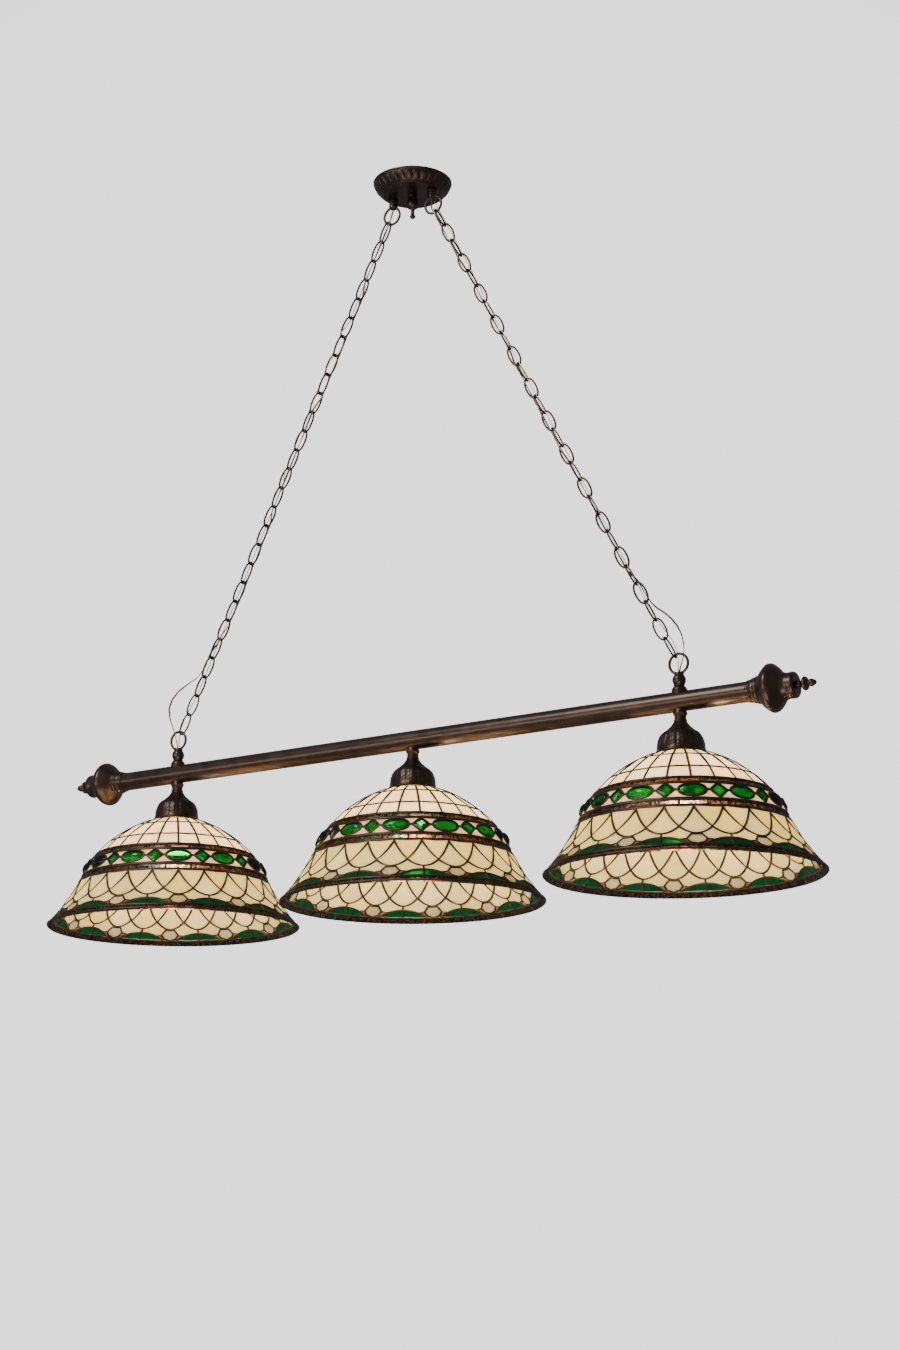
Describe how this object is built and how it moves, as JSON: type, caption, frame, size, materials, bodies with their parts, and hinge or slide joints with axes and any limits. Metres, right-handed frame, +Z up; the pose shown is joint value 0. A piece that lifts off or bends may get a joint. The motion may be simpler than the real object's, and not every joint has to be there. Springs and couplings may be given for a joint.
{
  "type": "pool table lamp",
  "caption": "Hanging billiard lamp: a tube bar on two chains from one canopy carries a row of bell-shaped leaded-glass shades.",
  "frame": {"origin": "centre of the canopy and crossbar in the ceiling plane", "axes": "+X along the bar, +Z up"},
  "size_m": [1.34, 0.4064, 1.1965],
  "materials": {
    "bronze": "satin mahogany bronze",
    "chain_bronze": "satin dark bronze",
    "steel": "zinc plated",
    "brass": "plain",
    "copper": "bare copper wire",
    "green_screw": "green ground screw",
    "nickel": "screw shell",
    "porcelain": "glazed",
    "cord": "translucent brown",
    "bulb_glass": "frosted and lit",
    "ivory_glass": "opalescent peach ivory",
    "skirt_glass": "opalescent yellow beige",
    "jewel_glass": "cast green jewels",
    "leading": "dark patina solder"
  },
  "bodies": {
    "root": {"canopy_shell": "bronze", "mounting_crossbar": "steel", "crossbar_pipe": "brass", "canopy_nuts": "brass", "ground_screw": "green_screw", "canopy_loop_left": "bronze", "canopy_loop_right": "bronze"},
    "canopy_knob": {"canopy_knob": "bronze"},
    "upper_links": {"upper_link_left": "chain_bronze", "upper_link_right": "chain_bronze"},
    "left_chain": {"chain_left": "chain_bronze", "lamp_cord_left": "cord", "ground_wire_left": "copper"},
    "right_chain": {"chain_right": "chain_bronze", "lamp_cord_right": "cord", "ground_wire_right": "copper"},
    "lower_links": {"lower_link_left": "chain_bronze", "lower_link_right": "chain_bronze"},
    "bar": {"bar_tube": "bronze", "pipe_nuts": "brass", "seat_plates": "brass", "bar_loop_left": "bronze", "bar_loop_right": "bronze", "end_plug_left": "steel", "end_plug_right": "steel", "end_cap_left": "bronze", "end_cap_right": "bronze", "pipe_left": "brass", "pipe_middle": "brass", "pipe_right": "brass", "shade_neck_left": "bronze", "shade_neck_middle": "bronze", "shade_neck_right": "bronze", "vase_cap_left": "bronze", "vase_cap_middle": "bronze", "vase_cap_right": "bronze", "socket_left": "porcelain", "socket_middle": "porcelain", "socket_right": "porcelain", "shade_crown_left": "ivory_glass", "shade_crown_middle": "ivory_glass", "shade_crown_right": "ivory_glass", "shade_jewel_band_left": "jewel_glass", "shade_jewel_band_middle": "jewel_glass", "shade_jewel_band_right": "jewel_glass", "shade_skirt_left": "skirt_glass", "shade_skirt_middle": "skirt_glass", "shade_skirt_right": "skirt_glass", "shade_leading_left": "leading", "shade_leading_middle": "leading", "shade_leading_right": "leading"},
    "finial_left": {"finial_left": "bronze"},
    "finial_right": {"finial_right": "bronze"},
    "bulb_left": {"bulb_glass_left": "bulb_glass", "bulb_base_left": "nickel"},
    "bulb_middle": {"bulb_glass_middle": "bulb_glass", "bulb_base_middle": "nickel"},
    "bulb_right": {"bulb_glass_right": "bulb_glass", "bulb_base_right": "nickel"}
  },
  "joints": [
    {"name": "knob_turn", "type": "hinge", "parent": "root", "child": "canopy_knob", "pos_m": [0, 0, -0.03], "axis": [0, 0, -1], "range_deg": [0, 1800]},
    {"name": "sway", "type": "hinge", "parent": "root", "child": "upper_links", "pos_m": [0, 0, -0.06184], "axis": [1, 0, 0], "range_deg": [-12, 12]},
    {"name": "left_chain_swing", "type": "hinge", "parent": "upper_links", "child": "left_chain", "pos_m": [-0.06141, 0, -0.09146], "axis": [0, 1, 0], "range_deg": [-6, 6], "deforming": ["lamp_cord_left", "ground_wire_left"]},
    {"name": "right_chain_swing", "type": "hinge", "parent": "upper_links", "child": "right_chain", "pos_m": [0.06141, 0, -0.09146], "axis": [0, 1, 0], "range_deg": [-6, 6], "deforming": ["lamp_cord_right", "ground_wire_right"]},
    {"name": "lower_link_swing", "type": "hinge", "parent": "left_chain", "child": "lower_links", "pos_m": [-0.43579, 0, -0.84254], "axis": [0, 1, 0], "range_deg": [-1, 1]},
    {"name": "bar_tilt", "type": "hinge", "parent": "lower_links", "child": "bar", "pos_m": [0, 0, -0.87216], "axis": [1, 0, 0], "range_deg": [-10, 10]},
    {"name": "finial_left_turn", "type": "hinge", "parent": "bar", "child": "finial_left", "pos_m": [-0.655, 0, -0.9424], "axis": [-1, 0, 0], "range_deg": [0, 1800]},
    {"name": "finial_right_turn", "type": "hinge", "parent": "bar", "child": "finial_right", "pos_m": [0.655, 0, -0.9424], "axis": [1, 0, 0], "range_deg": [0, 1800]},
    {"name": "bulb_left_turn", "type": "hinge", "parent": "bar", "child": "bulb_left", "pos_m": [-0.4572, 0, -1.1], "axis": [0, 0, -1], "range_deg": [0, 1800]},
    {"name": "bulb_middle_turn", "type": "hinge", "parent": "bar", "child": "bulb_middle", "pos_m": [0, 0, -1.1], "axis": [0, 0, -1], "range_deg": [0, 1800]},
    {"name": "bulb_right_turn", "type": "hinge", "parent": "bar", "child": "bulb_right", "pos_m": [0.4572, 0, -1.1], "axis": [0, 0, -1], "range_deg": [0, 1800]}
  ],
  "couplings": [
    {"joint": "right_chain_swing", "follows": "left_chain_swing", "ratio": 1},
    {"joint": "lower_link_swing", "follows": "left_chain_swing", "ratio": -0.1409}
  ]
}
